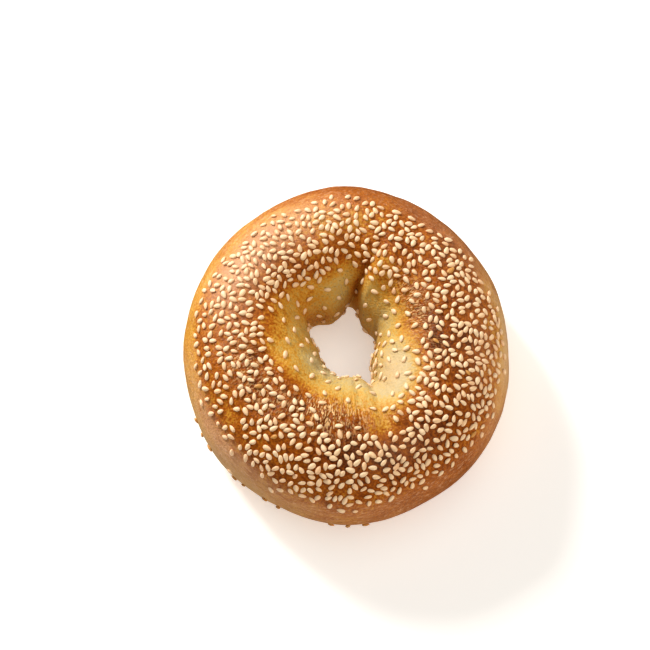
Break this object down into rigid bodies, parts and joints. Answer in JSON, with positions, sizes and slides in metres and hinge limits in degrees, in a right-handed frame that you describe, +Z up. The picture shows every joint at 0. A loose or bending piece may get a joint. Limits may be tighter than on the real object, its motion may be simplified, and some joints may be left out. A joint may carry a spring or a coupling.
{
  "type": "sesame bagel",
  "caption": "Baked ring of bread dough with an uneven hole through its middle and sesame seeds on its crust; lies flat to be sliced, filled and eaten.",
  "frame": {"origin": "under the middle of the ring's outline, on the surface that the bagel rests on", "axes": "+Z up through the hole, +Y towards the pinched seam, the far side in the picture, and +X to the picture's right"},
  "size_m": [0.1118, 0.1192, 0.043],
  "materials": {
    "crust": "satin",
    "seeds": "satin"
  },
  "bodies": {
    "root": {"bagel": "crust"}
  },
  "joints": []
}
